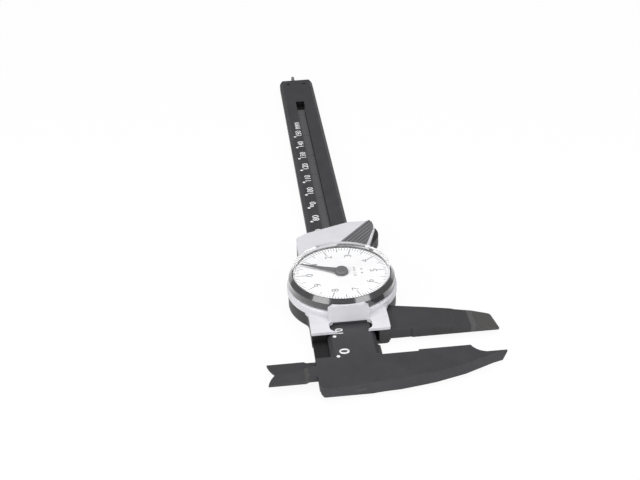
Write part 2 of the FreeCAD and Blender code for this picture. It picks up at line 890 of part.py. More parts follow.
def add_moving_jaw(piece):
    """Outside jaw of the slider, thinner towards its tip."""
    outline = [
        (s.moving_relief, -s.slider_half + PAST),
        (s.moving_relief, -s.face_top),
        (0, -s.face_top),
        (0, -s.moving_tip_depth + s.moving_tip_slant),
        (s.moving_tip, -s.moving_tip_depth),
        (s.moving_end_length, -s.moving_end_depth),
        (s.moving_low_length, -s.moving_low_depth),
        (s.moving_mid_length, -s.moving_mid_depth),
        (s.moving_root, -s.moving_root_depth),
        (s.moving_root, -s.slider_half + PAST),
    ]
    pad(piece, "moving_jaw", draw_outline, outline, s.moving_bottom, s.moving_top)
    end = [(s.moving_end_length, -s.moving_end_depth)]
    round_uprights(piece, "jaw_end_corner", end, s.moving_end_corner)
    wedge = [
        (-s.moving_bevel_start, s.moving_top + HAIR),
        (-s.moving_bevel_start, s.moving_top),
        (-s.moving_bevel_knee, s.moving_top - s.moving_knee_drop),
        (-s.moving_tip_depth - HAIR, s.moving_top - s.moving_bevel_drop),
        (-s.moving_tip_depth - HAIR, s.moving_top + HAIR),
    ]
    cut(piece, "jaw_bevel", draw_outline, wedge, -PAST, s.moving_root, "YZ")


def add_moving_blade(piece):
    """Arm that passes under the fixed head, with the lower blade of the inside jaws."""
    edge = -s.blade_edge
    back = edge - s.blade_width
    arm_back = s.head_wall + s.arm_gap - s.head_length
    clear = s.head_left + s.arm_gap
    outline = [
        (s.arm_root, s.arm_inner),
        (s.arm_root, s.arm_outer),
        (edge - s.blade_relief, s.arm_outer),
        (edge - s.blade_relief, s.blade_relief_top),
        (edge, s.blade_foot),
        (edge, s.blade_tip, "arc", s.blade_curve, 1),
        (back, s.blade_shoulder),
        (back, clear),
        (arm_back, clear),
        (arm_back, s.arm_inner),
    ]
    pad(piece, "moving_blade", draw_outline, outline, s.arm_bottom, s.arm_top)
    below = [
        (s.blade_relief_top, s.arm_bottom - HAIR),
        (s.blade_tip + HAIR, s.arm_bottom - HAIR),
        (s.blade_tip + HAIR, s.arm_top - s.blade_tip_drop),
    ]
    cut(piece, "blade_thinning", draw_outline, below, back - PAST, edge + PAST, "YZ")


def plate_screw_places():
    columns = (s.plate_screw_inset, s.plate_length - s.plate_screw_inset)
    return [(x, s.plate_screw_side * side) for x in columns for side in (1, -1)]


def cover_screw_places():
    drum = [(DIAL_X, (DRUM_RADIUS - s.cover_screw_inset) * side) for side in (1, -1)]
    deck = [(s.deck_screw_length, s.deck_screw_side), (s.deck_screw_length, -s.deck_screw_side)]
    return drum + deck


def movement_screw_places():
    """Three screws inside the cup, clear of the beam's way below."""
    radius = s.base_radius - s.movement_screw_inset
    angles = [math.radians(degrees) for degrees in (65, 115, 270)]
    return [(DIAL_X + radius * math.cos(angle), radius * math.sin(angle)) for angle in angles]


def make_back_plate():
    piece = body("back_plate", "slider")
    outline = box(s.front_gap, s.plate_length, -s.plate_half, s.plate_half)
    pad(piece, "plate", draw_outline, outline, s.plate_bottom, s.frame_bottom)
    half = s.way_left + s.foot_gap / 2
    notch = box(s.front_gap - PAST, s.head_foot + s.foot_gap, -half, half)
    cut(piece, "foot_notch", draw_outline, notch, s.plate_bottom, s.frame_bottom)
    corners = [(x, s.plate_half * side) for x in (s.front_gap, s.plate_length) for side in (1, -1)]
    round_uprights(piece, "plate_corners", corners, s.plate_corner)
    dress(piece, "plate_edge", "PartDesign::Chamfer", "Size", s.plate_edge, level_edge(s.plate_bottom))
    shafts = [(x, y, s.plate_screw_radius) for x, y in plate_screw_places()]
    shafts += [(x, y, s.rod_screw_radius) for x, y in rod_screw_places()]
    cut(piece, "screw_holes", draw_circles, shafts, s.plate_bottom, s.frame_bottom)
    sinks = [(x, y, s.plate_screw_head) for x, y in plate_screw_places()]
    sinks += [(x, y, s.rod_screw_head) for x, y in rod_screw_places()]
    cut(piece, "screw_sinks", draw_circles, sinks, s.plate_bottom, s.plate_bottom + s.plate_screw_head_height)


def screw_group(label, frame, places, shaft, head, head_low, head_high, tip_low, tip_high):
    """Identical screws as separate solids, each with a slot across its head."""
    piece = shape_group(label, frame)
    solids = []
    for x, y in places:
        spot = FreeCAD.Vector(number_of(x), number_of(y), 0)
        solids.append(screw(spot, shaft, head, head_low, head_high, tip_low, tip_high))
    piece.Shape = Part.makeCompound(solids)
    place(piece, frame)
    return piece


def shape_group(label, frame):
    piece = doc.addObject("Part::Feature", label)
    piece.Label = label
    PIECES.append(piece)
    return piece


def screw(spot, shaft, head, head_low, head_high, tip_low, tip_high):
    """A slotted screw, its head at the lower end where that is where its shaft starts."""
    up = FreeCAD.Vector(0, 0, 1)
    radius = number_of(head)
    head_height = number_of(head_high) - number_of(head_low)
    shaft_height = number_of(tip_high) - number_of(tip_low)
    top = Part.makeCylinder(radius, head_height, spot + up * number_of(head_low), up)
    rod = Part.makeCylinder(number_of(shaft), shaft_height, spot + up * number_of(tip_low), up)
    slot_half = radius * SLOT_SHARE
    slot_depth = head_height * SLOT_DEPTH_SHARE
    head_below = number_of(head_low) < number_of(tip_low) + HAIR
    slot_z = number_of(head_low) if head_below else number_of(head_high) - slot_depth
    corner = spot + FreeCAD.Vector(-radius * 2, -slot_half, slot_z)
    slot = Part.makeBox(radius * 4, slot_half * 2, slot_depth, corner)
    return top.fuse(rod).removeSplitter().cut(slot)


def make_back_plate_screws():
    bottom = s.plate_bottom + s.head_sink
    screw_group("back_plate_screws", "slider", plate_screw_places(), s.plate_screw_radius, s.plate_screw_head,
                bottom, s.plate_bottom + s.plate_screw_head_height, bottom, s.plate_screw_top)


def make_cover_screws():
    bottom = s.frame_bottom + s.head_sink
    screw_group("cover_screws", "slider", cover_screw_places(), s.cover_screw_radius, s.cover_screw_head,
                bottom, s.frame_bottom + s.cover_screw_head_height, bottom, s.web_top + s.cover_screw_reach)


def make_gib():
    piece = body("gib_strip", "slider")
    inner = -s.beam_half - s.gib_gap
    strip = box(s.gib_start, s.gib_end, inner - s.gib_thickness, inner)
    pad(piece, "strip", draw_outline, strip, s.gib_bottom, s.gib_bottom + s.gib_height)
    middle = (number_of(s.gib_start) + number_of(s.gib_end)) / 2
    low = number_of(inner - s.gib_thickness)
    wall = -number_of(s.way_right)
    thick = number_of(s.gib_spring_thickness)
    start, end = number_of(s.gib_start), number_of(s.gib_end)
    bow = [FreeCAD.Vector(x, y, 0) for x, y in ((start, wall), (middle, low - thick), (end, wall))]
    lift = FreeCAD.Vector(0, thick, 0)
    lower = Part.Arc(*bow).toShape()
    upper = Part.Arc(*[spot + lift for spot in bow]).toShape()
    sides = [Part.LineSegment(spot, spot + lift).toShape() for spot in (bow[0], bow[2])]
    face = Part.Face(Part.Wire(Part.__sortEdges__([lower, upper] + sides)))
    spring = face.extrude(FreeCAD.Vector(0, 0, number_of(s.gib_height)))
    spring.translate(FreeCAD.Vector(0, 0, number_of(s.gib_bottom)))
    shape_piece("gib_spring", "slider", spring)


# Depth rod

def rod_screw_places():
    first = s.rod_start + s.rod_foot_length / 2 - s.rod_screw_spacing / 2
    return [(first, s.groove_centre), (first + s.rod_screw_spacing, s.groove_centre)]


def make_depth_rod():
    piece = body("depth_rod", "slider")
    low, high = s.groove_centre - s.rod_half, s.groove_centre + s.rod_half
    pad(piece, "rod", draw_outline, box(s.rod_start, s.beam_length, low, high), s.rod_bottom, s.rod_top)
    foot = box(s.rod_start, s.rod_start + s.rod_foot_length, low, high)
    pad(piece, "foot", draw_outline, foot, s.frame_bottom, s.rod_bottom)
    notch = box(s.beam_length - s.rod_notch, s.beam_length + PAST, high - s.rod_notch_depth, high + PAST)
    cut(piece, "tip_notch", draw_outline, notch, 0, s.rod_top)
    pilots = [(x, y, s.rod_screw_radius) for x, y in rod_screw_places()]
    tip = s.rod_top - s.rod_screw_cover
    cut(piece, "rod_pilots", draw_circles, pilots, s.frame_bottom, tip)
    bottom = s.plate_bottom + s.head_sink
    screw_group("rod_screws", "slider", rod_screw_places(), s.rod_screw_radius, s.rod_screw_head,
                bottom, s.plate_bottom + s.plate_screw_head_height, bottom, tip)


# Top cover and thumb grip

def on_dial_circle(radius, depth):
    """Where a circle about the dial reaches a depth on the right, behind the dial."""
    return (DIAL_X + root(radius * radius - depth * depth), -depth)


def deck_outline():
    """Plan of the cover behind the dial, which flares to the thumb grip on the right."""
    rear = s.rear_overhang
    return [
        (DIAL_X, s.deck_left),
        (s.rear_left + rear, s.deck_left),
        (s.rear_notch + rear, s.rear_notch_left),
        (s.rear_right + rear, -s.rear_right_depth),
        (s.tip_rear_length, -s.tip_rear_depth, "arc", s.tip_radius, -1),
        (s.tip_side_length, -s.tip_side_depth),
        (s.flare_length, -s.flare_depth),
        (s.flare_start, -s.deck_left),
        (DIAL_X, -s.deck_left),
    ]


def grip_outline(play):
    """Plan of the ribbed insert, curved round the dial and running out over the deck's rear corner."""
    radius = SKIRT_RADIUS + s.grip_margin + play
    rim = s.grip_rim + play
    corner_play = play * 3
    far = s.tip_rear_length + PAST
    return [
        on_dial_circle(radius, s.grip_apex_depth + corner_play) + ("arc", radius, -1),
        on_dial_circle(radius, s.grip_foot_depth - play),
        (s.flare_length, rim - s.flare_depth),
        (far - s.tip_radius, rim - s.flare_depth - PAST),
        (far, rim - s.flare_depth - PAST),
        (far, -s.grip_end_depth - corner_play),
    ]


def make_top_cover():
    piece = body("top_cover", "slider")
    front = [
        (s.front_gap, s.cover_half),
        (DIAL_X, s.cover_half),
        (DIAL_X, -s.cover_half),
        (s.front_gap, -s.cover_half),
    ]
    pad(piece, "front_plate", draw_outline, front, s.frame_top, s.cover_top)
    edges = [(s.front_gap, s.cover_half), (s.front_gap, -s.cover_half)]
    round_uprights(piece, "front_corners", edges, s.cover_edge)
    slope = [
        (s.front_gap - PAST, s.front_lip),
        (s.front_gap, s.front_lip),
        (s.window_length, s.cover_top),
        (s.window_length, s.cover_top + PAST),
        (s.front_gap - PAST, s.cover_top + PAST),
    ]
    cut(piece, "front_slope", draw_outline, slope, -s.cover_half - PAST, s.cover_half + PAST, "XZ")
    pad(piece, "deck", draw_outline, deck_outline(), s.frame_top, s.deck_top)
    round_uprights(piece, "deck_corner_round", [(s.rear_left + s.rear_overhang, s.deck_left)], s.deck_corner)
    dress(piece, "deck_edge", "PartDesign::Fillet", "Radius", s.cover_edge, rear_top_edge())
    pad(piece, "skirt", draw_circles, [(DIAL_X, 0, SKIRT_RADIUS)], s.web_top, s.skirt_top)
    dress(piece, "skirt_edge", "PartDesign::Chamfer", "Size", s.skirt_bevel, level_edge(s.skirt_top))
    for side, name in ((1, "left_neck"), (-1, "right_neck")):
        neck = neck_fillets(s.cover_half, SKIRT_RADIUS, side)
        pad(piece, name, draw_outline, neck, s.frame_top, s.cover_top)
    add_tab(piece)
    under = s.frame_top - HAIR
    cut(piece, "drum_clearance", draw_circles, [(DIAL_X, 0, SKIRT_RADIUS + HAIR)], under, s.web_top)
    half = s.web_half + s.web_play
    room = box(s.window_length - s.web_play, s.rear_left - PAST + s.web_play, -half, half)
    cut(piece, "web_room", draw_outline, room, under, s.web_top)
    half = s.deck_left - s.cover_wall
    hollow = box(DIAL_X, s.rear_left - s.cover_wall, -half, half)
    cut(piece, "deck_hollow", draw_outline, hollow, under, s.deck_top - s.deck_skin)
    far = s.rear_right + s.rear_overhang + PAST
    room = box(s.flare_start - PAST, far, -s.flare_depth - PAST, -s.slider_half)
    cut(piece, "flare_room", draw_outline, room, under, s.flare_top + s.flare_play)
    cut(piece, "grip_recess", draw_outline, grip_outline(0), s.grip_seat, s.deck_top + PAST)
    cut(piece, "dial_bore", draw_circles, [(DIAL_X, 0, COVER_BORE)], under, s.tab_top + PAST)
    cut_number_window(piece)
    pilots = [(x, y, s.cover_screw_radius) for x, y in cover_screw_places()]
    cut(piece, "cover_pilots", draw_circles, pilots, s.frame_top, s.web_top + s.cover_screw_reach)


def rear_top_edge():
    """Picks the deck's top edges behind the dial, all but the side that meets the front plate."""
    behind = number_of(DIAL_X) + PAST
    level = level_edge(s.deck_top)

    def wanted(edge):
        return level(edge) and edge.BoundBox.XMax > behind
    return wanted


def add_tab(piece):
    """Raised tab in front of the bezel with cut upper corners, hollowed to the bezel's curve."""
    outline = [
        (-s.tab_half, s.web_top),
        (s.tab_half, s.web_top),
        (s.tab_half, s.tab_shoulder),
        (s.tab_half - s.tab_corner, s.tab_top),
        (s.tab_corner - s.tab_half, s.tab_top),
        (-s.tab_half, s.tab_shoulder),
    ]
    pad(piece, "tab", draw_outline, outline, s.window_length, s.dial_front + s.tab_reach, "YZ")
    face = DIAL_X - BEZEL_RADIUS - s.bezel_gap - s.tab_lip
    wedge = [
        (s.window_length - PAST, s.tab_foot),
        (s.window_length, s.tab_foot),
        (face, s.tab_top),
        (face, s.tab_top + PAST),
        (s.window_length - PAST, s.tab_top + PAST),
    ]
    cut(piece, "tab_slope", draw_outline, wedge, -s.slider_half, s.slider_half, "XZ")
    room = [(DIAL_X, 0, BEZEL_RADIUS + s.bezel_gap)]
    cut(piece, "bezel_room", draw_circles, room, s.skirt_top, s.tab_top + PAST)


def cut_number_window(piece):
    """Window over the beam's numbers, open to the front between two hooked prongs."""
    corner = s.window_corner
    window = [
        (s.front_gap - PAST, s.prong_left),
        (s.front_gap, s.prong_left, "arc", s.prong_radius, -1),
        (s.front_gap + s.prong_reach, s.window_left),
        (s.window_length - corner, s.window_left, "arc", corner, -1),
        (s.window_length, s.window_left - corner),
        (s.window_length, corner - s.window_right, "arc", corner, -1),
        (s.window_length - corner, -s.window_right),
        (s.front_gap + s.prong_reach, -s.window_right, "arc", s.prong_radius, -1),
        (s.front_gap, -s.prong_right),
        (s.front_gap - PAST, -s.prong_right),
    ]
    cut(piece, "cover_window", draw_outline, window, s.frame_top - HAIR, s.tab_top)


def outline_face(points):
    """The flat face inside an outline of lines and arcs."""
    spots = [FreeCAD.Vector(number_of(p[0]), number_of(p[1]), 0) for p in points]
    edges = []
    for index, point in enumerate(points):
        start, end = spots[index], spots[(index + 1) % len(points)]
        if len(point) > 2:
            edges.append(arc_between(start, end, number_of(point[3]), point[4]).toShape())
        else:
            edges.append(Part.LineSegment(start, end).toShape())
    return Part.Face(Part.Wire(Part.__sortEdges__(edges)))


def make_thumb_grip():
    """Insert with ribs that run along its upper edge."""
    outline = grip_outline(s.grip_play)
    plan = outline_face(outline).common(outline_face(deck_outline())).Faces[0]
    plan.translate(FreeCAD.Vector(0, 0, number_of(s.grip_seat)))
    up = FreeCAD.Vector(0, 0, 1)
    whole = plan.extrude(up * number_of(s.grip_top - s.grip_seat))
    shape = plan.extrude(up * number_of(s.grip_top - s.grip_seat - s.rib_height))
    apex, tip = [FreeCAD.Vector(number_of(p[0]), number_of(p[1]), 0) for p in (outline[0], outline[-1])]
    along = tip - apex
    inward = FreeCAD.Vector(along.y, -along.x, 0).normalize()
    half = inward * number_of(s.rib_width / 2)
    for count in range(int(along.Length / number_of(s.rib_pitch))):
        middle = inward * (number_of(s.rib_pitch) * (count + 0.5))
        ends = [apex + middle - along, tip + middle + along]
        corners = [ends[0] - half, ends[1] - half, ends[1] + half, ends[0] + half]
        rib = extruded([(c.x, c.y) for c in corners], s.grip_seat, s.grip_top).common(whole)
        if rib.Volume > HAIR:
            shape = shape.fuse(rib)
    shape_piece("thumb_grip", "slider", shape.removeSplitter())


# Movement housing

def make_movement_base():
    piece = body("movement_base", "slider")
    pad(piece, "cup", draw_circles, [(DIAL_X, 0, s.base_radius)], s.web_top, s.rim_top)
    inside = [(DIAL_X, 0, s.base_radius - s.rim_wall)]
    cut(piece, "cup_inside", draw_circles, inside, s.base_top, s.rim_top)
    cut(piece, "bush_hole", draw_circles, [(DIAL_X, 0, bush_outer(s.sleeve_radius))], s.web_top, s.base_top)
    shafts = [(x, y, s.movement_screw_radius) for x, y in movement_screw_places()]
    cut(piece, "screw_holes", draw_circles, shafts, s.web_top, s.base_top)
    seat = [(DIAL_X, 0, s.base_radius), (DIAL_X, 0, s.base_radius - s.wire_seat)]
    cut(piece, "wire_seat_cut", draw_circles, seat, s.wire_bottom, s.wire_top)


def bush_outer(shaft):
    return shaft + s.running_gap + s.bush_wall


def make_bush(label, shaft, low, high, flange_low, flange_high):
    piece = body(label, "slider")
    pad(piece, "sleeve", draw_circles, [(DIAL_X, 0, bush_outer(shaft))], low, high)
    flange = [(DIAL_X, 0, bush_outer(shaft) + s.bush_flange)]
    pad(piece, "flange", draw_circles, flange, flange_low, flange_high)
    bottom = low if number_of(low) < number_of(flange_low) else flange_low
    top = high if number_of(high) > number_of(flange_high) else flange_high
    cut(piece, "bore", draw_circles, [(DIAL_X, 0, shaft + s.running_gap)], bottom, top)


def make_bushes():
    make_bush("lower_bush", s.sleeve_radius, s.web_top, s.base_top,
              s.base_top, s.base_top + s.bush_flange_height)
    make_bush("upper_bush", s.arbor_radius, s.bridge_bottom - s.bush_overhang, s.bridge_top,
              s.bridge_top, s.bridge_top + s.bush_flange_height)


def post_places():
    return [(DIAL_X + s.post_spread * side, 0) for side in (-1, 1)]


def make_bridge():
    piece = body("movement_bridge", "slider")
    bar = box(DIAL_X - s.post_spread, DIAL_X + s.post_spread, -s.bridge_half, s.bridge_half)
    pad(piece, "bar", draw_outline, bar, s.bridge_bottom, s.bridge_top)
    pad(piece, "hub", draw_circles, [(DIAL_X, 0, s.bridge_hub)], s.bridge_bottom, s.bridge_top)
    for index, (x, y) in enumerate(post_places()):
        pad(piece, "end%d" % index, draw_circles, [(x, y, s.bridge_end)], s.bridge_bottom, s.bridge_top)
    holes = [(x, y, s.bridge_screw_radius) for x, y in post_places()]
    holes.append((DIAL_X, 0, bush_outer(s.arbor_radius)))
    cut(piece, "bridge_holes", draw_circles, holes, s.bridge_bottom, s.bridge_top)
    posts = [post(x) for x, y in post_places()]
    shape_piece("bridge_posts", "slider", Part.makeCompound(posts))
    screw_group("bridge_screws", "slider", post_places(), s.bridge_screw_radius, s.bridge_screw_head,
                s.bridge_top, s.bridge_top + s.bridge_screw_head_height,
                s.bridge_bottom - s.bridge_screw_reach, s.bridge_top)


def post(x):
    up = FreeCAD.Vector(0, 0, 1)
    foot = FreeCAD.Vector(number_of(x), 0, number_of(s.base_top))
    height = number_of(s.bridge_bottom - s.base_top)
    reach = number_of(s.bridge_screw_reach)
    rod = Part.makeCylinder(number_of(s.post_radius), height, foot, up)
    pilot = Part.makeCylinder(number_of(s.bridge_screw_radius), reach, foot + up * (height - reach), up)
    return rod.cut(pilot)


def make_movement_screws():
    screw_group("movement_screws", "slider", movement_screw_places(), s.movement_screw_radius,
                s.movement_screw_head, s.base_top, s.base_top + s.movement_screw_head_height,
                s.movement_screw_bottom, s.base_top)


def make_bezel_springs():
    """Friction ring under the bezel's ledge and the split wire that holds the bezel down."""
    piece = body("bezel_spring", "slider")
    outer = s.base_radius - s.friction_inset
    rings = [(DIAL_X, 0, outer), (DIAL_X, 0, outer - s.friction_width)]
    pad(piece, "ring", draw_circles, rings, s.rim_top, s.rim_top + s.friction_height)
    piece = body("bezel_wire", "slider")
    inner = s.base_radius - s.wire_seat
    outer = s.base_radius + s.wire_reach
    rings = [(DIAL_X, 0, outer), (DIAL_X, 0, inner)]
    pad(piece, "wire", draw_circles, rings, s.wire_bottom + s.wire_gap, s.wire_top - s.wire_gap)
    gap = box(DIAL_X, DIAL_X + s.base_radius + PAST, -s.wire_split / 2, s.wire_split / 2)
    cut(piece, "split", draw_outline, gap, s.wire_bottom, s.wire_top)


# Pointer

def make_arbor():
    piece = body("pointer_arbor", "pointer")
    pad(piece, "arbor", draw_circles, [(0, 0, s.arbor_radius)], s.arbor_bottom, s.arbor_top)


def involute(angle):
    return math.tan(angle) - angle


def tooth_half_angle(radius):
    """Half of a tooth's angle at a radius, with the flank radial below the base circle."""
    pressure = math.radians(number_of(s.pressure_angle))
    base = pitch_radius() * math.cos(pressure)
    pitch_half = (number_of(s.turn_travel / s.teeth) - number_of(s.backlash)) / 4 / pitch_radius()
    local = math.acos(min(base / radius, 1.0))
    return pitch_half + involute(pressure) - involute(local)


def pinion_face(low, high):
    """Toothed disc with a gap between teeth facing the rack at zero opening."""
    count = int(number_of(s.teeth))
    root = pitch_radius() - number_of(s.pinion_dedendum)
    tip = pitch_radius() + number_of(s.pinion_addendum)
    base = pitch_radius() * math.cos(math.radians(number_of(s.pressure_angle)))
    levels = [root, base, pitch_radius(), (pitch_radius() + tip) / 2, tip]
    points = []
    for tooth in range(count):
        middle = 2 * math.pi * (tooth + 0.5) / count - math.pi / 2
        rising = [(radius, middle - tooth_half_angle(radius)) for radius in levels]
        falling = [(radius, middle + tooth_half_angle(radius)) for radius in reversed(levels)]
        points += [(r * math.cos(a), r * math.sin(a)) for r, a in rising + falling]
    return extruded(points, low, high)


def bored(shape, low, high):
    up = FreeCAD.Vector(0, 0, 1)
    height = number_of(high) - number_of(low)
    hole = Part.makeCylinder(number_of(s.arbor_radius), height, up * number_of(low), up)
    return shape.cut(hole)


def make_pinions():
    low = s.pinion_bottom
    high = low + s.pinion_height
    shape_piece("drive_pinion", "pointer", bored(pinion_face(low, high), low, high))
    low = high + s.pinion_gap
    high = low + s.pinion_height
    wheel = pinion_face(low, high)
    up = FreeCAD.Vector(0, 0, 1)
    length = number_of(s.sleeve_top - low)
    sleeve = Part.makeCylinder(number_of(s.sleeve_radius), length, up * number_of(low), up)
    shape_piece("take_up_pinion", "pointer", bored(wheel.fuse(sleeve).removeSplitter(), low, s.sleeve_top))


def spring_low():
    return s.sleeve_top - s.spring_height - s.spring_gap


def make_take_up_spring():
    """Flat spiral from the take-up sleeve to the carrier's peg."""
    inner = number_of(s.sleeve_radius) + number_of(s.spring_thickness) / 2
    outer = number_of(s.spring_outer)
    turns = number_of(s.spring_turns)
    steps = int(turns * STEPS_PER_TURN)
    half = number_of(s.spring_thickness) / 2
    sides = ([], [])
    for step in range(steps + 1):
        share = step / steps
        angle = 2 * math.pi * turns * share
        radius = inner + (outer - inner) * share
        for side, offset in zip(sides, (half, -half)):
            side.append((math.cos(angle) * (radius + offset), math.sin(angle) * (radius + offset)))
    points = sides[0] + sides[1][::-1]
    low = spring_low()
    shape_piece("take_up_spring", "pointer", extruded(points, low, low + s.spring_height))


def make_spring_carrier():
    piece = body("spring_carrier", "pointer")
    low = s.sleeve_top + s.carrier_gap
    high = low + s.carrier_height
    pad(piece, "disc", draw_circles, [(0, 0, s.carrier_radius)], low, high)
    pad(piece, "carrier_hub_pad", draw_circles, [(0, 0, s.carrier_hub)], high, high + s.carrier_height)
    peg_place = s.spring_outer + s.spring_thickness / 2 + s.carrier_peg
    pad(piece, "peg", draw_circles, [(peg_place, 0, s.carrier_peg)], spring_low(), low)
    cut(piece, "carrier_bore", draw_circles, [(0, 0, s.arbor_radius)], low, high + s.carrier_height)


def make_needle():
    piece = body("needle", "pointer")
    tip = DIAL_RADIUS - s.needle_inset
    outline = [
        (-s.needle_root_half, 0),
        (-s.needle_root_half, s.needle_root),
        (-s.needle_mid_half, s.needle_mid),
        (-s.needle_tip_half, tip),
        (s.needle_tip_half, tip),
        (s.needle_mid_half, s.needle_mid),
        (s.needle_root_half, s.needle_root),
        (s.needle_root_half, 0),
    ]
    top = s.needle_bottom + s.needle_thickness
    pad(piece, "blade", draw_outline, outline, s.needle_bottom, top)
    waist = s.hub_radius - s.hub_waist
    cut(piece, "hub_seat", draw_circles, [(0, 0, waist)], s.needle_bottom, top)
    piece = body("needle_hub", "pointer")
    turn(piece, "hub", [
        (s.arbor_radius, s.hub_bottom),
        (s.hub_radius, s.hub_bottom),
        (s.hub_radius, s.needle_bottom),
        (waist, s.needle_bottom),
        (waist, top),
        (s.hub_radius, top),
        (s.hub_radius - s.hub_taper, s.hub_top),
        (0, s.hub_top),
        (0, s.arbor_top),
        (s.arbor_radius, s.arbor_top),
    ])


# Bezel

def make_bezel():
    piece = body("bezel_ring", "bezel")
    groove = s.base_radius + s.wire_reach + s.wire_play
    ledge = s.base_radius - s.ledge_reach
    turn(piece, "ring", [
        (BEZEL_BORE, s.bezel_bottom),
        (BEZEL_RADIUS - s.bezel_round, s.bezel_bottom),
        (BEZEL_RADIUS, s.bezel_bottom + s.bezel_round),
        (BEZEL_RADIUS, s.flange_top),
        (BEZEL_TOP_RADIUS, s.bezel_top),
        (CRYSTAL_BORE, s.bezel_top),
        (CRYSTAL_BORE, s.ledge_top),
        (ledge, s.ledge_top),
        (ledge, s.ledge_bottom),
        (BEZEL_BORE, s.ledge_bottom),
        (BEZEL_BORE, s.wire_top + s.wire_play),
        (groove, s.wire_top + s.wire_play),
        (groove, s.wire_bottom - s.wire_play),
        (BEZEL_BORE, s.wire_bottom - s.wire_play),
    ])
    piece = body("dial_plate", "bezel")
    dial_top = s.ledge_top + s.dial_thickness
    pad(piece, "disc", draw_circles, [(0, 0, DIAL_RADIUS), (0, 0, s.dial_hole)], s.ledge_top, dial_top)
    piece = body("crystal", "bezel")
    inner = CRYSTAL_RADIUS - s.crystal_wall
    under = s.crystal_top - s.crystal_skin
    turn(piece, "lens", [
        (0, under),
        (inner, under),
        (inner, dial_top),
        (CRYSTAL_RADIUS, dial_top),
        (CRYSTAL_RADIUS, s.crystal_top - s.crystal_edge),
        (CRYSTAL_RADIUS - s.crystal_edge, s.crystal_top),
        (0, s.crystal_top),
    ])


def check_all():
    """Stops if any object failed or any piece has no sound solid."""
    for item in doc.Objects:
        if "Invalid" in item.State or "Error" in item.State:
            raise RuntimeError("%s did not build: %s" % (item.Label, item.State))
    for piece in PIECES:
        shape = piece.Shape
        if shape.isNull() or not shape.isValid() or shape.Volume <= 0:
            raise RuntimeError("%s has no sound shape" % piece.Label)


def main():
    make_beam()
    make_rack()
    make_end_stop()
    make_slider_frame()
    make_back_plate()
    make_back_plate_screws()
    make_gib()
    make_depth_rod()
    make_top_cover()
    make_cover_screws()
    make_thumb_grip()
    make_movement_base()
    make_movement_screws()
    make_bushes()
    make_bridge()
    make_bezel_springs()
    make_arbor()
    make_pinions()
    make_take_up_spring()
    make_spring_carrier()
    make_needle()
    make_bezel()
    doc.recompute()
    check_all()
    os.makedirs("parts", exist_ok=True)
    for piece in PIECES:
        piece.Shape.exportStep("parts/%s.step" % piece.Label)
        bounds = piece.Shape.BoundBox
        print("%-18s %2d solids %9.2f mm3  x %.2f..%.2f  y %.2f..%.2f  z %.2f..%.2f" % (
            piece.Label, len(piece.Shape.Solids), piece.Shape.Volume,
            bounds.XMin, bounds.XMax, bounds.YMin, bounds.YMax, bounds.ZMin, bounds.ZMax))


main()
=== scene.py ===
import math

import bmesh
import bpy
from mathutils import Euler, Matrix, Vector


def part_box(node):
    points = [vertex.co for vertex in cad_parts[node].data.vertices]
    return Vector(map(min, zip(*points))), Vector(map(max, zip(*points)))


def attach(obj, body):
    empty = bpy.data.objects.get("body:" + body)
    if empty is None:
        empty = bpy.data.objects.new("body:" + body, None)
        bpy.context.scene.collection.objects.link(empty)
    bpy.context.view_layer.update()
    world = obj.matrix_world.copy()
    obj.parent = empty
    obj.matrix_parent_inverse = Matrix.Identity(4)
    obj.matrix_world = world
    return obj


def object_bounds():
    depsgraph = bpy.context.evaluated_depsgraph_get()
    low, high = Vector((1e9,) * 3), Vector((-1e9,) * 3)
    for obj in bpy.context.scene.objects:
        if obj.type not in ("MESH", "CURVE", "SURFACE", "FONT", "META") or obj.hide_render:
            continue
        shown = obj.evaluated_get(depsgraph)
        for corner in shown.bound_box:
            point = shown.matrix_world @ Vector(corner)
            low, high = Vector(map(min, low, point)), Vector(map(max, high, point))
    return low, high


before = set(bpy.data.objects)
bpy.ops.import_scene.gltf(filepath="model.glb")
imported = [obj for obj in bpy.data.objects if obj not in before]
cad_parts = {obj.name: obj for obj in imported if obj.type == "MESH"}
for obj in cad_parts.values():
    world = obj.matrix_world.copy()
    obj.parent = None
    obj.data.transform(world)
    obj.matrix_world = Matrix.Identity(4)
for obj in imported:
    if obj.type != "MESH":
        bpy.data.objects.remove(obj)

CAD_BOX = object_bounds()
MM = 0.001

# Places that the CAD gives, in metres
BEAM_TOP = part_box("main_beam")[1][2]
DIAL_LOW, DIAL_HIGH = (Vector(corner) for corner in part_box("dial_plate"))
DIAL_CENTRE = (DIAL_LOW + DIAL_HIGH) / 2
DIAL_TOP = DIAL_HIGH.z
CRYSTAL_LOW, CRYSTAL_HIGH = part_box("crystal")
CRYSTAL_RADIUS = (CRYSTAL_HIGH[0] - CRYSTAL_LOW[0]) / 2
FLOOR = CAD_BOX[0][2]


# Nodes that the materials share

NOISE_DETAIL = 4.0
NOISE_ROUGHNESS = 0.55
# The part of the noise over which a ramp runs
RAMP_ENDS = (0.3, 0.7)


def new_material(name):
    material = bpy.data.materials.new(name)
    material.use_nodes = True
    tree = material.node_tree
    return material, tree, tree.nodes["Principled BSDF"]


def add(tree, kind, **settings):
    """Adds a node; each setting is one of its properties or the value of one of its inputs."""
    node = tree.nodes.new(kind)
    for key, value in settings.items():
        if hasattr(node, key):
            setattr(node, key, value)
        else:
            node.inputs[key.replace("_", " ")].default_value = value
    return node


def own_place(tree):
    """The place on the piece, which moves along with the piece."""
    return add(tree, "ShaderNodeTexCoord").outputs["Object"]


def maths(tree, operation, first, second):
    """What an operation makes of two values; the second may be a number."""
    node = add(tree, "ShaderNodeMath", operation=operation)
    tree.links.new(first, node.inputs[0])
    if isinstance(second, float):
        node.inputs[1].default_value = second
    else:
        tree.links.new(second, node.inputs[1])
    return node.outputs[0]


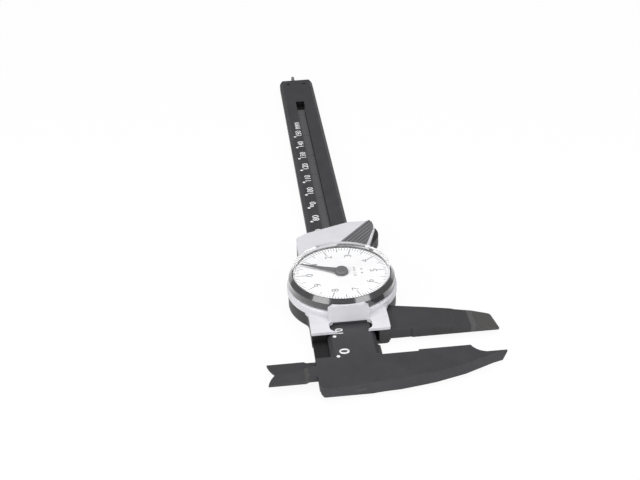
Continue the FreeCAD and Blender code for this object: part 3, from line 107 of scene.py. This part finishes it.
def near(tree, value, middle, reach):
    """One where a value lies within the reach of the middle, else nought."""
    test = maths(tree, "COMPARE", value, middle)
    test.node.inputs[2].default_value = reach
    return test


def mixed(tree, share, first, second):
    """Two shaders mixed, with this share of the second."""
    mix = add(tree, "ShaderNodeMixShader")
    tree.links.new(share, mix.inputs["Fac"])
    tree.links.new(first, mix.inputs[1])
    tree.links.new(second, mix.inputs[2])
    return mix.outputs[0]


def finish_shader(tree, result):
    tree.links.new(result, tree.nodes["Material Output"].inputs["Surface"])


def noise(tree, scale, detail=NOISE_DETAIL):
    texture = add(tree, "ShaderNodeTexNoise", Scale=scale, Detail=detail, Roughness=NOISE_ROUGHNESS)
    tree.links.new(own_place(tree), texture.inputs["Vector"])
    return texture.outputs["Fac"]


def ramp(tree, fac, low, high, ends=RAMP_ENDS):
    """Runs from one colour or grey to another while the noise goes from the one end to the other."""
    node = add(tree, "ShaderNodeValToRGB")
    for element, place, colour in zip(node.color_ramp.elements, ends, (low, high)):
        element.position = place
        element.color = (*colour, 1) if isinstance(colour, tuple) else (colour, colour, colour, 1)
    tree.links.new(fac, node.inputs["Fac"])
    return node.outputs["Color"]


def uneven(tree, fac, middle, spread):
    """A roughness that varies about its middle."""
    return ramp(tree, fac, middle - spread, middle + spread)


def set_surface(tree, shader, colour, rough):
    tree.links.new(colour, shader.inputs["Base Color"])
    tree.links.new(rough, shader.inputs["Roughness"])


def bump(tree, shader, height, strength, distance):
    node = add(tree, "ShaderNodeBump", Strength=strength, Distance=distance)
    tree.links.new(height, node.inputs["Height"])
    tree.links.new(node.outputs["Normal"], shader.inputs["Normal"])


# Moulded plastic

# How close the changes lie in a moulding's colour, in its gloss and in its grain
CLOUD_SCALE = 140.0
GLOSS_SCALE = 420.0
GRAIN_SCALE = 2600.0
GRAIN_DETAIL = 3.0
GRAIN_DEPTH = 0.02 * MM
PLASTIC_SPREAD = 0.05
PLASTIC_IOR = 1.5
COAT_ROUGHNESS = 0.06

CHARCOAL_DARK = (0.038, 0.037, 0.040)
CHARCOAL_LIGHT = (0.049, 0.048, 0.051)

# Zones that have another colour, most of them painted light or painted shade. Each span of a zone is an axis
# of the piece, with the middle and the reach to each side in millimetres.
# The channel's floor is painted paler, as painted light where the lamps would reach it
CHANNEL_FLOOR = (("Z", 1.9, 0.05), ("Y", 0.35, 1.6))
CHANNEL_MARKS = (101, 120, 136, 155, 175)
CHANNEL_MARK_REACH = 0.2
# The well at the channel's end has painted light on its pale near part and painted shade at its dark far end
WELL_ACROSS = ("Y", 0.175, 2.0)
WELL_FLOOR_LIGHT = (WELL_ACROSS, ("X", 179.9, 1.5), ("Z", 1.6, 0.05))
WELL_END_SHADE = (WELL_ACROSS, ("X", 183.4, 2.0), ("Z", 2.7, 1.2))
# Painted highlight on the slope of the fixed blade
BLADE_HIGHLIGHT = (("Y", 15.2, 0.6),)
# Painted shade in the recess beside the beam, between the head and the frame
RECESS_SHADE = (("Y", 9.7, 2.4), ("X", 0.0, 10.95))
# Painted light on the bevelled tip of the moving jaw, and a band of painted highlight where its bevel starts
JAW_TIP_LIGHT = (("Y", -41.4, 4.5),)
JAW_BAND_HIGHLIGHT = (("Y", -37.6, 0.8),)

# Colours of the zones: painted light, painted highlight and painted shade, and the channel's faint marks
CHANNEL_LIGHT_COLOUR = (0.125, 0.123, 0.132, 1)
CHANNEL_MARK_COLOUR = (0.070, 0.069, 0.074, 1)
WELL_SHADE_COLOUR = (0.006, 0.006, 0.006, 1)
RECESS_SHADE_COLOUR = (0.010, 0.010, 0.011, 1)
SLOPE_HIGHLIGHT_COLOUR = (0.072, 0.070, 0.069, 1)
BAND_HIGHLIGHT_COLOUR = (0.090, 0.088, 0.090, 1)


def moulded(name, dark, light, roughness, strength=0.18, coat=0.0, gloss=0.5):
    """Moulded plastic: a little uneven in colour and gloss, with a fine grain."""
    material, tree, shader = new_material(name)
    colour = ramp(tree, noise(tree, CLOUD_SCALE), dark, light)
    set_surface(tree, shader, colour, uneven(tree, noise(tree, GLOSS_SCALE), roughness, PLASTIC_SPREAD))
    bump(tree, shader, noise(tree, GRAIN_SCALE, GRAIN_DETAIL), strength, GRAIN_DEPTH)
    shader.inputs["IOR"].default_value = PLASTIC_IOR
    shader.inputs["Specular IOR Level"].default_value = gloss
    shader.inputs["Coat Weight"].default_value = coat
    shader.inputs["Coat Roughness"].default_value = COAT_ROUGHNESS
    return material


def recolour(material, zone, colour):
    """Gives another base colour to the part of a moulding that lies within every span of a zone."""
    tree = material.node_tree
    base_colour = tree.nodes["Principled BSDF"].inputs["Base Color"]
    plain = base_colour.links[0].from_socket
    split = add(tree, "ShaderNodeSeparateXYZ")
    tree.links.new(own_place(tree), split.inputs["Vector"])
    spans = [near(tree, split.outputs[axis], middle * MM, reach * MM) for axis, middle, reach in zone]
    inside = spans[0]
    for span in spans[1:]:
        inside = maths(tree, "MULTIPLY", inside, span)
    mix = add(tree, "ShaderNodeMix", data_type="RGBA")
    tree.links.new(inside, mix.inputs["Factor"])
    tree.links.new(plain, mix.inputs["A"])
    mix.inputs["B"].default_value = colour
    tree.links.new(mix.outputs["Result"], base_colour)


def beam_plastic():
    """The beam's channel floor and the near part of its well are paler as painted light, with faint marks
    across the floor; the well's far end has painted shade; and its blade has a strip of painted highlight.
    """
    material = moulded("beam_plastic", (0.038, 0.037, 0.041), (0.049, 0.048, 0.052), 0.5, gloss=0.3)
    recolour(material, CHANNEL_FLOOR, CHANNEL_LIGHT_COLOUR)
    for x in CHANNEL_MARKS:
        recolour(material, CHANNEL_FLOOR + (("X", x, CHANNEL_MARK_REACH),), CHANNEL_MARK_COLOUR)
    recolour(material, WELL_FLOOR_LIGHT, CHANNEL_LIGHT_COLOUR)
    recolour(material, WELL_END_SHADE, WELL_SHADE_COLOUR)
    recolour(material, BLADE_HIGHLIGHT, SLOPE_HIGHLIGHT_COLOUR)
    return material


def frame_plastic():
    """Painted shade darkens the frame in the recess beside the beam; painted light makes it paler towards
    the tip of its jaw, with a band of painted highlight where the bevel starts.
    """
    material = moulded("frame_plastic", CHARCOAL_DARK, CHARCOAL_LIGHT, 0.5, gloss=0.3)
    recolour(material, RECESS_SHADE, RECESS_SHADE_COLOUR)
    recolour(material, JAW_TIP_LIGHT, SLOPE_HIGHLIGHT_COLOUR)
    recolour(material, JAW_BAND_HIGHLIGHT, BAND_HIGHLIGHT_COLOUR)
    return material


# Metal, ink and clear plastic

METAL_SCALE = 900.0
METAL_STRETCH = (1.0, 12.0, 12.0)
METAL_SPREAD = 0.07
METAL_RELIEF = 0.1
METAL_DEPTH = 0.01 * MM
INK_SCALE = 2400.0
INK_ENDS = (0.35, 0.6)
INK_GLOSSY = 0.45
INK_DULL = 0.6
CLEAR_IOR = 1.49
CLEAR_SCALE = 60.0
CLEAR_ROUGHEST = 0.03
SHEEN_FINEST = 0.01
SHEEN_ROUGHEST = 0.05
# Half the thickness of the crystal's wall, and how far up or down the normal of a wall may point
WALL_HALF = 0.35 * MM
UPRIGHT = 0.3


def metal(name, dark, light, roughness):
    """Metal with fine marks along one direction."""
    material, tree, shader = new_material(name)
    mapping = add(tree, "ShaderNodeMapping", Scale=METAL_STRETCH)
    texture = add(tree, "ShaderNodeTexNoise", Scale=METAL_SCALE, Detail=NOISE_DETAIL)
    tree.links.new(own_place(tree), mapping.inputs["Vector"])
    tree.links.new(mapping.outputs["Vector"], texture.inputs["Vector"])
    marks = texture.outputs["Fac"]
    set_surface(tree, shader, ramp(tree, marks, dark, light), uneven(tree, marks, roughness, METAL_SPREAD))
    bump(tree, shader, marks, METAL_RELIEF, METAL_DEPTH)
    shader.inputs["Metallic"].default_value = 1.0
    return material


def ink(name, dark, light):
    """Printed paint, a little uneven where it covers thinly."""
    material, tree, shader = new_material(name)
    cover = noise(tree, INK_SCALE)
    rough = ramp(tree, cover, INK_GLOSSY, INK_DULL)
    set_surface(tree, shader, ramp(tree, cover, dark, light, INK_ENDS), rough)
    return material


def far_wall(tree):
    """One where a ray leaves through the crystal's wall, nought where it comes in and on the flat top."""
    geometry = add(tree, "ShaderNodeNewGeometry")
    split = add(tree, "ShaderNodeSeparateXYZ")
    tree.links.new(geometry.outputs["True Normal"], split.inputs["Vector"])
    upright = near(tree, split.outputs["Z"], 0.0, UPRIGHT)
    from_axis = add(tree, "ShaderNodeVectorMath", operation="SUBTRACT")
    from_axis.inputs[1].default_value = (DIAL_CENTRE.x, DIAL_CENTRE.y, 0)
    tree.links.new(own_place(tree), from_axis.inputs[0])
    flat = add(tree, "ShaderNodeVectorMath", operation="MULTIPLY")
    flat.inputs[1].default_value = (1, 1, 0)
    tree.links.new(from_axis.outputs["Vector"], flat.inputs[0])
    radius = add(tree, "ShaderNodeVectorMath", operation="LENGTH")
    tree.links.new(flat.outputs["Vector"], radius.inputs[0])
    outer = maths(tree, "GREATER_THAN", radius.outputs["Value"], CRYSTAL_RADIUS - WALL_HALF)
    leaving = near(tree, outer, geometry.outputs["Backfacing"], 0.5)
    return maths(tree, "MULTIPLY", upright, leaving)


def clear(name):
    """Clear plastic: thin where it is looked through from above, refracting in the far side of its wall."""
    material, tree, shader = new_material(name)
    cloudy = noise(tree, CLEAR_SCALE)
    shader.inputs["Base Color"].default_value = (1, 1, 1, 1)
    shader.inputs["Transmission Weight"].default_value = 1.0
    shader.inputs["IOR"].default_value = CLEAR_IOR
    tree.links.new(ramp(tree, cloudy, 0.0, CLEAR_ROUGHEST), shader.inputs["Roughness"])
    open_air = add(tree, "ShaderNodeBsdfTransparent").outputs["BSDF"]
    sheen = add(tree, "ShaderNodeBsdfGlossy")
    tree.links.new(ramp(tree, cloudy, SHEEN_FINEST, SHEEN_ROUGHEST), sheen.inputs["Roughness"])
    fresnel = add(tree, "ShaderNodeFresnel", IOR=CLEAR_IOR)
    outside = maths(tree, "LESS_THAN", add(tree, "ShaderNodeNewGeometry").outputs["Backfacing"], 0.5)
    share = maths(tree, "MULTIPLY", fresnel.outputs["Fac"], outside)
    thin = mixed(tree, share, open_air, sheen.outputs["BSDF"])
    wall = mixed(tree, far_wall(tree), thin, shader.outputs["BSDF"])
    path = add(tree, "ShaderNodeLightPath")
    finish_shader(tree, mixed(tree, path.outputs["Is Shadow Ray"], wall, open_air))
    return material


# The materials and where they go

CHARCOAL = moulded("charcoal_plastic", CHARCOAL_DARK, CHARCOAL_LIGHT, 0.5, gloss=0.3)
FRAME = frame_plastic()
BEAM = beam_plastic()
GREY = moulded("grey_plastic", (0.640, 0.635, 0.670), (0.690, 0.685, 0.720), 0.45, strength=0.1)
MID_GREY = moulded("mid_grey_plastic", (0.140, 0.140, 0.147), (0.175, 0.175, 0.183), 0.5)
BEZEL = moulded("bezel_plastic", (0.045, 0.045, 0.047), (0.055, 0.055, 0.058), 0.16, strength=0.04, coat=1.0)
BLACK = moulded("black_plastic", (0.012, 0.012, 0.013), (0.018, 0.018, 0.020), 0.4)
DIAL = moulded("dial_white", (0.87, 0.87, 0.88), (0.92, 0.92, 0.93), 0.55, strength=0.03)
NEEDLE = moulded("needle_paint", (0.130, 0.128, 0.133), (0.155, 0.153, 0.159), 0.4, strength=0.05)
STEEL = metal("steel", (0.50, 0.50, 0.51), (0.60, 0.60, 0.61), 0.3)
BRASS = metal("brass", (0.60, 0.43, 0.18), (0.70, 0.52, 0.24), 0.3)
# Brass darkened as painted shade: the rack shows only as the shadowed gap under the beam's lip
SHADED_BRASS = metal("brass_in_painted_shade", (0.050, 0.038, 0.022), (0.070, 0.052, 0.030), 0.5)
ALUMINIUM = metal("aluminium", (0.70, 0.70, 0.71), (0.80, 0.80, 0.81), 0.35)
CLEAR = clear("clear_plastic")
WHITE_INK = ink("white_ink", (0.72, 0.72, 0.73), (0.88, 0.88, 0.89))
GREY_INK = ink("grey_ink", (0.22, 0.22, 0.23), (0.30, 0.30, 0.31))

NODE_MATERIALS = {
    "main_beam": BEAM,
    # The rack's brass carries painted shade
    "rack_strip": SHADED_BRASS,
    "end_stop": CHARCOAL,
    "slider_frame": FRAME,
    "back_plate": CHARCOAL,
    "back_plate_screws": STEEL,
    # The gib strip is black moulding, which also stands in as painted shade for the dark gap beside the beam
    "gib_strip": BLACK,
    "gib_spring": STEEL,
    "depth_rod": MID_GREY,
    "rod_screws": STEEL,
    "top_cover": GREY,
    "cover_screws": STEEL,
    "thumb_grip": MID_GREY,
    "movement_base": BLACK,
    "movement_screws": STEEL,
    "lower_bush": BRASS,
    "upper_bush": BRASS,
    "movement_bridge": ALUMINIUM,
    "bridge_posts": BRASS,
    "bridge_screws": STEEL,
    "bezel_spring": STEEL,
    "bezel_wire": STEEL,
    "pointer_arbor": STEEL,
    "drive_pinion": BRASS,
    "take_up_pinion": BRASS,
    "take_up_spring": STEEL,
    "spring_carrier": BRASS,
    "needle": NEEDLE,
    "needle_hub": NEEDLE,
    "bezel_ring": BEZEL,
    "dial_plate": DIAL,
    "crystal": CLEAR,
}


def set_material(mesh, material):
    mesh.materials.clear()
    mesh.materials.append(material)


def paint_nodes():
    for name, material in NODE_MATERIALS.items():
        set_material(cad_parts[name].data, material)


# Drawing flat printing

INK = 0.012 * MM
CURVE_STEPS = 6
DISC_STEPS = 24


def text_mesh(words, weight):
    """Flat lettering of unit size, with its strokes widened by the weight on each side."""
    curve = bpy.data.curves.new("lettering", "FONT")
    curve.body = words
    curve.offset = weight
    curve.resolution_u = CURVE_STEPS
    holder = bpy.data.objects.new("lettering", curve)
    bpy.context.scene.collection.objects.link(holder)
    bpy.context.view_layer.update()
    drawn = holder.evaluated_get(bpy.context.evaluated_depsgraph_get())
    mesh = bpy.data.meshes.new_from_object(drawn)
    bpy.data.objects.remove(holder)
    bpy.data.curves.remove(curve)
    return mesh


def add_words(bm, words, low, high, weight=0.0):
    """Adds lettering that fills the box between two corners; both are at the height of the surface."""
    mesh = text_mesh(words, weight)
    spots = [vertex.co for vertex in mesh.vertices]
    foot = Vector((min(spot.x for spot in spots), min(spot.y for spot in spots), 0))
    head = Vector((max(spot.x for spot in spots), max(spot.y for spot in spots), 0))
    size = head - foot
    scale = Matrix.Diagonal(((high.x - low.x) / size.x, (high.y - low.y) / size.y, 1, 1))
    mesh.transform(Matrix.Translation(low) @ scale @ Matrix.Translation(-foot))
    bm.from_mesh(mesh)
    bpy.data.meshes.remove(mesh)


def add_centred(bm, words, middle, width, height):
    half = Vector((width / 2, height / 2, 0))
    add_words(bm, words, middle - half, middle + half)


def add_disc(bm, centre, radius):
    spots = []
    for step in range(DISC_STEPS):
        angle = 2 * math.pi * step / DISC_STEPS
        spots.append(bm.verts.new(centre + Vector((math.cos(angle), math.sin(angle), 0)) * radius))
    bm.faces.new(spots)


def add_bar(bm, start, end, width):
    """A flat bar between two points."""
    along = (end - start).normalized()
    side = Vector((-along.y, along.x, 0)) * (width / 2)
    bm.faces.new([bm.verts.new(spot) for spot in (start - side, end - side, end + side, start + side)])


def raise_print(bm):
    """Gives flat printing the thickness of ink."""
    faces = bmesh.ops.extrude_face_region(bm, geom=bm.faces[:])
    top = [item for item in faces["geom"] if isinstance(item, bmesh.types.BMVert)]
    bmesh.ops.translate(bm, vec=(0, 0, INK), verts=top)
    bmesh.ops.recalc_face_normals(bm, faces=bm.faces[:])


def new_object(name, bm):
    mesh = bpy.data.meshes.new(name)
    bm.to_mesh(mesh)
    bm.free()
    thing = bpy.data.objects.new(name, mesh)
    bpy.context.scene.collection.objects.link(thing)
    return thing


def print_piece(name, draw, body, material):
    """Makes a printed piece of what the draw function puts down."""
    bm = bmesh.new()
    draw(bm)
    raise_print(bm)
    piece = new_object(name, bm)
    set_material(piece.data, material)
    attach(piece, body)


# The beam's scale, in millimetres from the fixed measuring face and from the beam's middle

DOT_COUNT = 16
DOT_PITCH = 10
DOT_ROW = 5.2
DOT_RADIUS = 0.55
# How much the strokes of the beam's lettering are widened
BEAM_WEIGHT = 0.02
# The near, far, low and high side of a number's box past its dot, for one, two and three digits
NUMBER_BOXES = {1: (1.0, 3.6, 1.6, 4.7), 2: (0.45, 4.4, 2.35, 4.75), 3: (0.75, 5.6, 2.35, 4.7)}
# The figure one is slim, so that 10 takes less room along the beam
TEN_SPAN = (1.2, 3.95)
UNIT_PLACE = (157.5, 2.35)
UNIT_SIZE = (6.4, 2.0)


def on_beam(x, y):
    spot = Vector((x, y, 0)) * MM
    spot.z = BEAM_TOP
    return spot


def draw_beam_dots(bm):
    for count in range(DOT_COUNT):
        add_disc(bm, on_beam(count * DOT_PITCH, DOT_ROW), DOT_RADIUS * MM)


def draw_beam_numbers(bm):
    for count in range(DOT_COUNT):
        dot = count * DOT_PITCH
        words = str(dot)
        near_side, far_side, low, high = NUMBER_BOXES[len(words)]
        if words == "10":
            near_side, far_side = TEN_SPAN
        add_words(bm, words, on_beam(dot + near_side, low), on_beam(dot + far_side, high), BEAM_WEIGHT)


def draw_beam_unit(bm):
    low = on_beam(*UNIT_PLACE)
    add_words(bm, "mm", low, low + Vector((*UNIT_SIZE, 0)) * MM, BEAM_WEIGHT)


# The dial's printing, in millimetres from its centre

MARK_COUNT = 100
MARK_OUTER = 15.1
# For each kind of mark, from the shortest to the longest: how often it comes, where it starts and its width
MARK_KINDS = ((1, 13.6, 0.24), (5, 12.5, 0.28), (10, 11.4, 0.32))
FIGURE_COUNT = 10
FIGURE_RADIUS = 10.2
FIGURE_HEIGHT = 2.2
FIGURE_WIDTH = 1.5
FIGURE_ONE_WIDTH = 0.75
DIAL_UNIT_PLACE = (0.3, -4.1)
DIAL_UNIT_WIDTH = 5.4
DIAL_UNIT_HEIGHT = 1.0
SPOT_PLACES = ((1.3, -6.5), (-0.9, -6.4))
SPOT_RADIUS = 0.35


def on_dial(x, y):
    return Vector((DIAL_CENTRE.x + x * MM, DIAL_CENTRE.y + y * MM, DIAL_TOP))


def on_circle(radius, turn):
    """A place on the dial's face, at a clockwise share of a turn from its zero."""
    angle = 2 * math.pi * turn
    return on_dial(radius * math.sin(angle), radius * math.cos(angle))


def draw_dial_marks(bm):
    for count in range(MARK_COUNT):
        for every, start, thickness in MARK_KINDS:
            if count % every == 0:
                inner, width = start, thickness
        turn = count / MARK_COUNT
        add_bar(bm, on_circle(inner, turn), on_circle(MARK_OUTER, turn), width * MM)


def draw_dial_numbers(bm):
    for count in range(FIGURE_COUNT):
        width = FIGURE_ONE_WIDTH if count == 1 else FIGURE_WIDTH
        middle = on_circle(FIGURE_RADIUS, count / FIGURE_COUNT)
        add_centred(bm, str(count), middle, width * MM, FIGURE_HEIGHT * MM)


def draw_dial_unit(bm):
    add_centred(bm, "0.1 mm", on_dial(*DIAL_UNIT_PLACE), DIAL_UNIT_WIDTH * MM, DIAL_UNIT_HEIGHT * MM)
    for x, y in SPOT_PLACES:
        add_disc(bm, on_dial(x, y), SPOT_RADIUS * MM)


def make_prints():
    for name, draw in (
        ("beam_dots", draw_beam_dots),
        ("beam_numbers", draw_beam_numbers),
        ("beam_unit", draw_beam_unit),
    ):
        print_piece(name, draw, "beam", WHITE_INK)
    for name, draw in (
        ("dial_marks", draw_dial_marks),
        ("dial_numbers", draw_dial_numbers),
        ("dial_unit", draw_dial_unit),
    ):
        print_piece(name, draw, "bezel", GREY_INK)


# Floor, light and camera, in metres

FLOOR_HALF = 3.0
FLOOR_WHITE = (0.9, 0.9, 0.9, 1)
FLOOR_ROUGHNESS = 0.9
# The share of glow in the floor where it is seen, whatever light falls on it
FLOOR_GLOW = 0.93
WORLD_STRENGTH = 0.25
# The front lamps stand round the dial: each has an azimuth in degrees, a side and a power in watts
FRONT_REACH = 0.55
FRONT_HEIGHT = 0.43
FRONT_LAMPS = (("lamp_left", 54, 0.38, 2.2), ("lamp_right", -40, 0.33, 1.67))
# The others have a place, an aim, a width and height, and a power in watts
OTHER_LAMPS = (
    ("lamp_over", (0.15, 0, 0.9), (0.08, 0, 0), (0.7, 0.7), 4.4),
    ("lamp_low", (-0.8, 0, 0.1), (0, 0, 0), (0.6, 0.16), 1.4),
)
CAMERA_PLACE = Vector((-0.2609, 0.0315, 0.2009))
CAMERA_AIM = Vector((0.07522, 0.002941, -0.001))
CAMERA_ROLL = math.radians(-2.168)
# In millimetres
LENS = 62.57
SENSOR_WIDTH = 36.0


def floor_material():
    """White that glows evenly where it is seen, and is lit as a plain floor where it throws light back."""
    material, tree, shader = new_material("floor_white")
    shader.inputs["Base Color"].default_value = FLOOR_WHITE
    shader.inputs["Roughness"].default_value = FLOOR_ROUGHNESS
    glow = add(tree, "ShaderNodeEmission", Strength=1.0)
    path = add(tree, "ShaderNodeLightPath").outputs
    seen = maths(tree, "MAXIMUM", path["Is Camera Ray"], path["Is Glossy Ray"])
    seen = maths(tree, "MAXIMUM", seen, path["Is Transmission Ray"])
    share = maths(tree, "MULTIPLY", seen, FLOOR_GLOW)
    finish_shader(tree, mixed(tree, share, shader.outputs["BSDF"], glow.outputs["Emission"]))
    return material


def make_floor():
    bm = bmesh.new()
    half = FLOOR_HALF
    corners = ((-half, -half), (half, -half), (half, half), (-half, half))
    bm.faces.new([bm.verts.new((x, y, FLOOR)) for x, y in corners])
    floor = new_object("floor", bm)
    set_material(floor.data, floor_material())


def make_world():
    world = bpy.data.worlds.new("studio")
    world.use_nodes = True
    background = world.node_tree.nodes["Background"]
    background.inputs["Color"].default_value = (1, 1, 1, 1)
    background.inputs["Strength"].default_value = WORLD_STRENGTH
    bpy.context.scene.world = world


def look_at(place, aim):
    """The rotation of a lamp or camera that looks from one place at another, with its top up."""
    return (Vector(aim) - Vector(place)).to_track_quat("-Z", "Y")


def add_lamp(name, place, aim, size, energy):
    data = bpy.data.lights.new(name, "AREA")
    data.shape = "RECTANGLE"
    data.size, data.size_y = size
    data.energy = energy
    lamp = bpy.data.objects.new(name, data)
    lamp.location = place
    lamp.rotation_euler = look_at(place, aim).to_euler()
    bpy.context.scene.collection.objects.link(lamp)


def make_lights():
    dial = (DIAL_CENTRE.x, DIAL_CENTRE.y, DIAL_TOP)
    for name, azimuth, side, energy in FRONT_LAMPS:
        turn = math.radians(azimuth)
        place = (dial[0] - FRONT_REACH * math.cos(turn), FRONT_REACH * math.sin(turn), FRONT_HEIGHT)
        add_lamp(name, place, dial, (side, side), energy)
    for lamp in OTHER_LAMPS:
        add_lamp(*lamp)


def make_camera():
    data = bpy.data.cameras.new("camera")
    data.lens = LENS
    data.sensor_width = SENSOR_WIDTH
    camera = bpy.data.objects.new("camera", data)
    camera.location = CAMERA_PLACE
    roll = Euler((0, 0, CAMERA_ROLL)).to_quaternion()
    camera.rotation_euler = (look_at(CAMERA_PLACE, CAMERA_AIM) @ roll).to_euler()
    bpy.context.scene.collection.objects.link(camera)
    bpy.context.scene.camera = camera


paint_nodes()
make_prints()
make_floor()
make_world()
make_lights()
make_camera()
bpy.context.scene.view_settings.view_transform = "Standard"
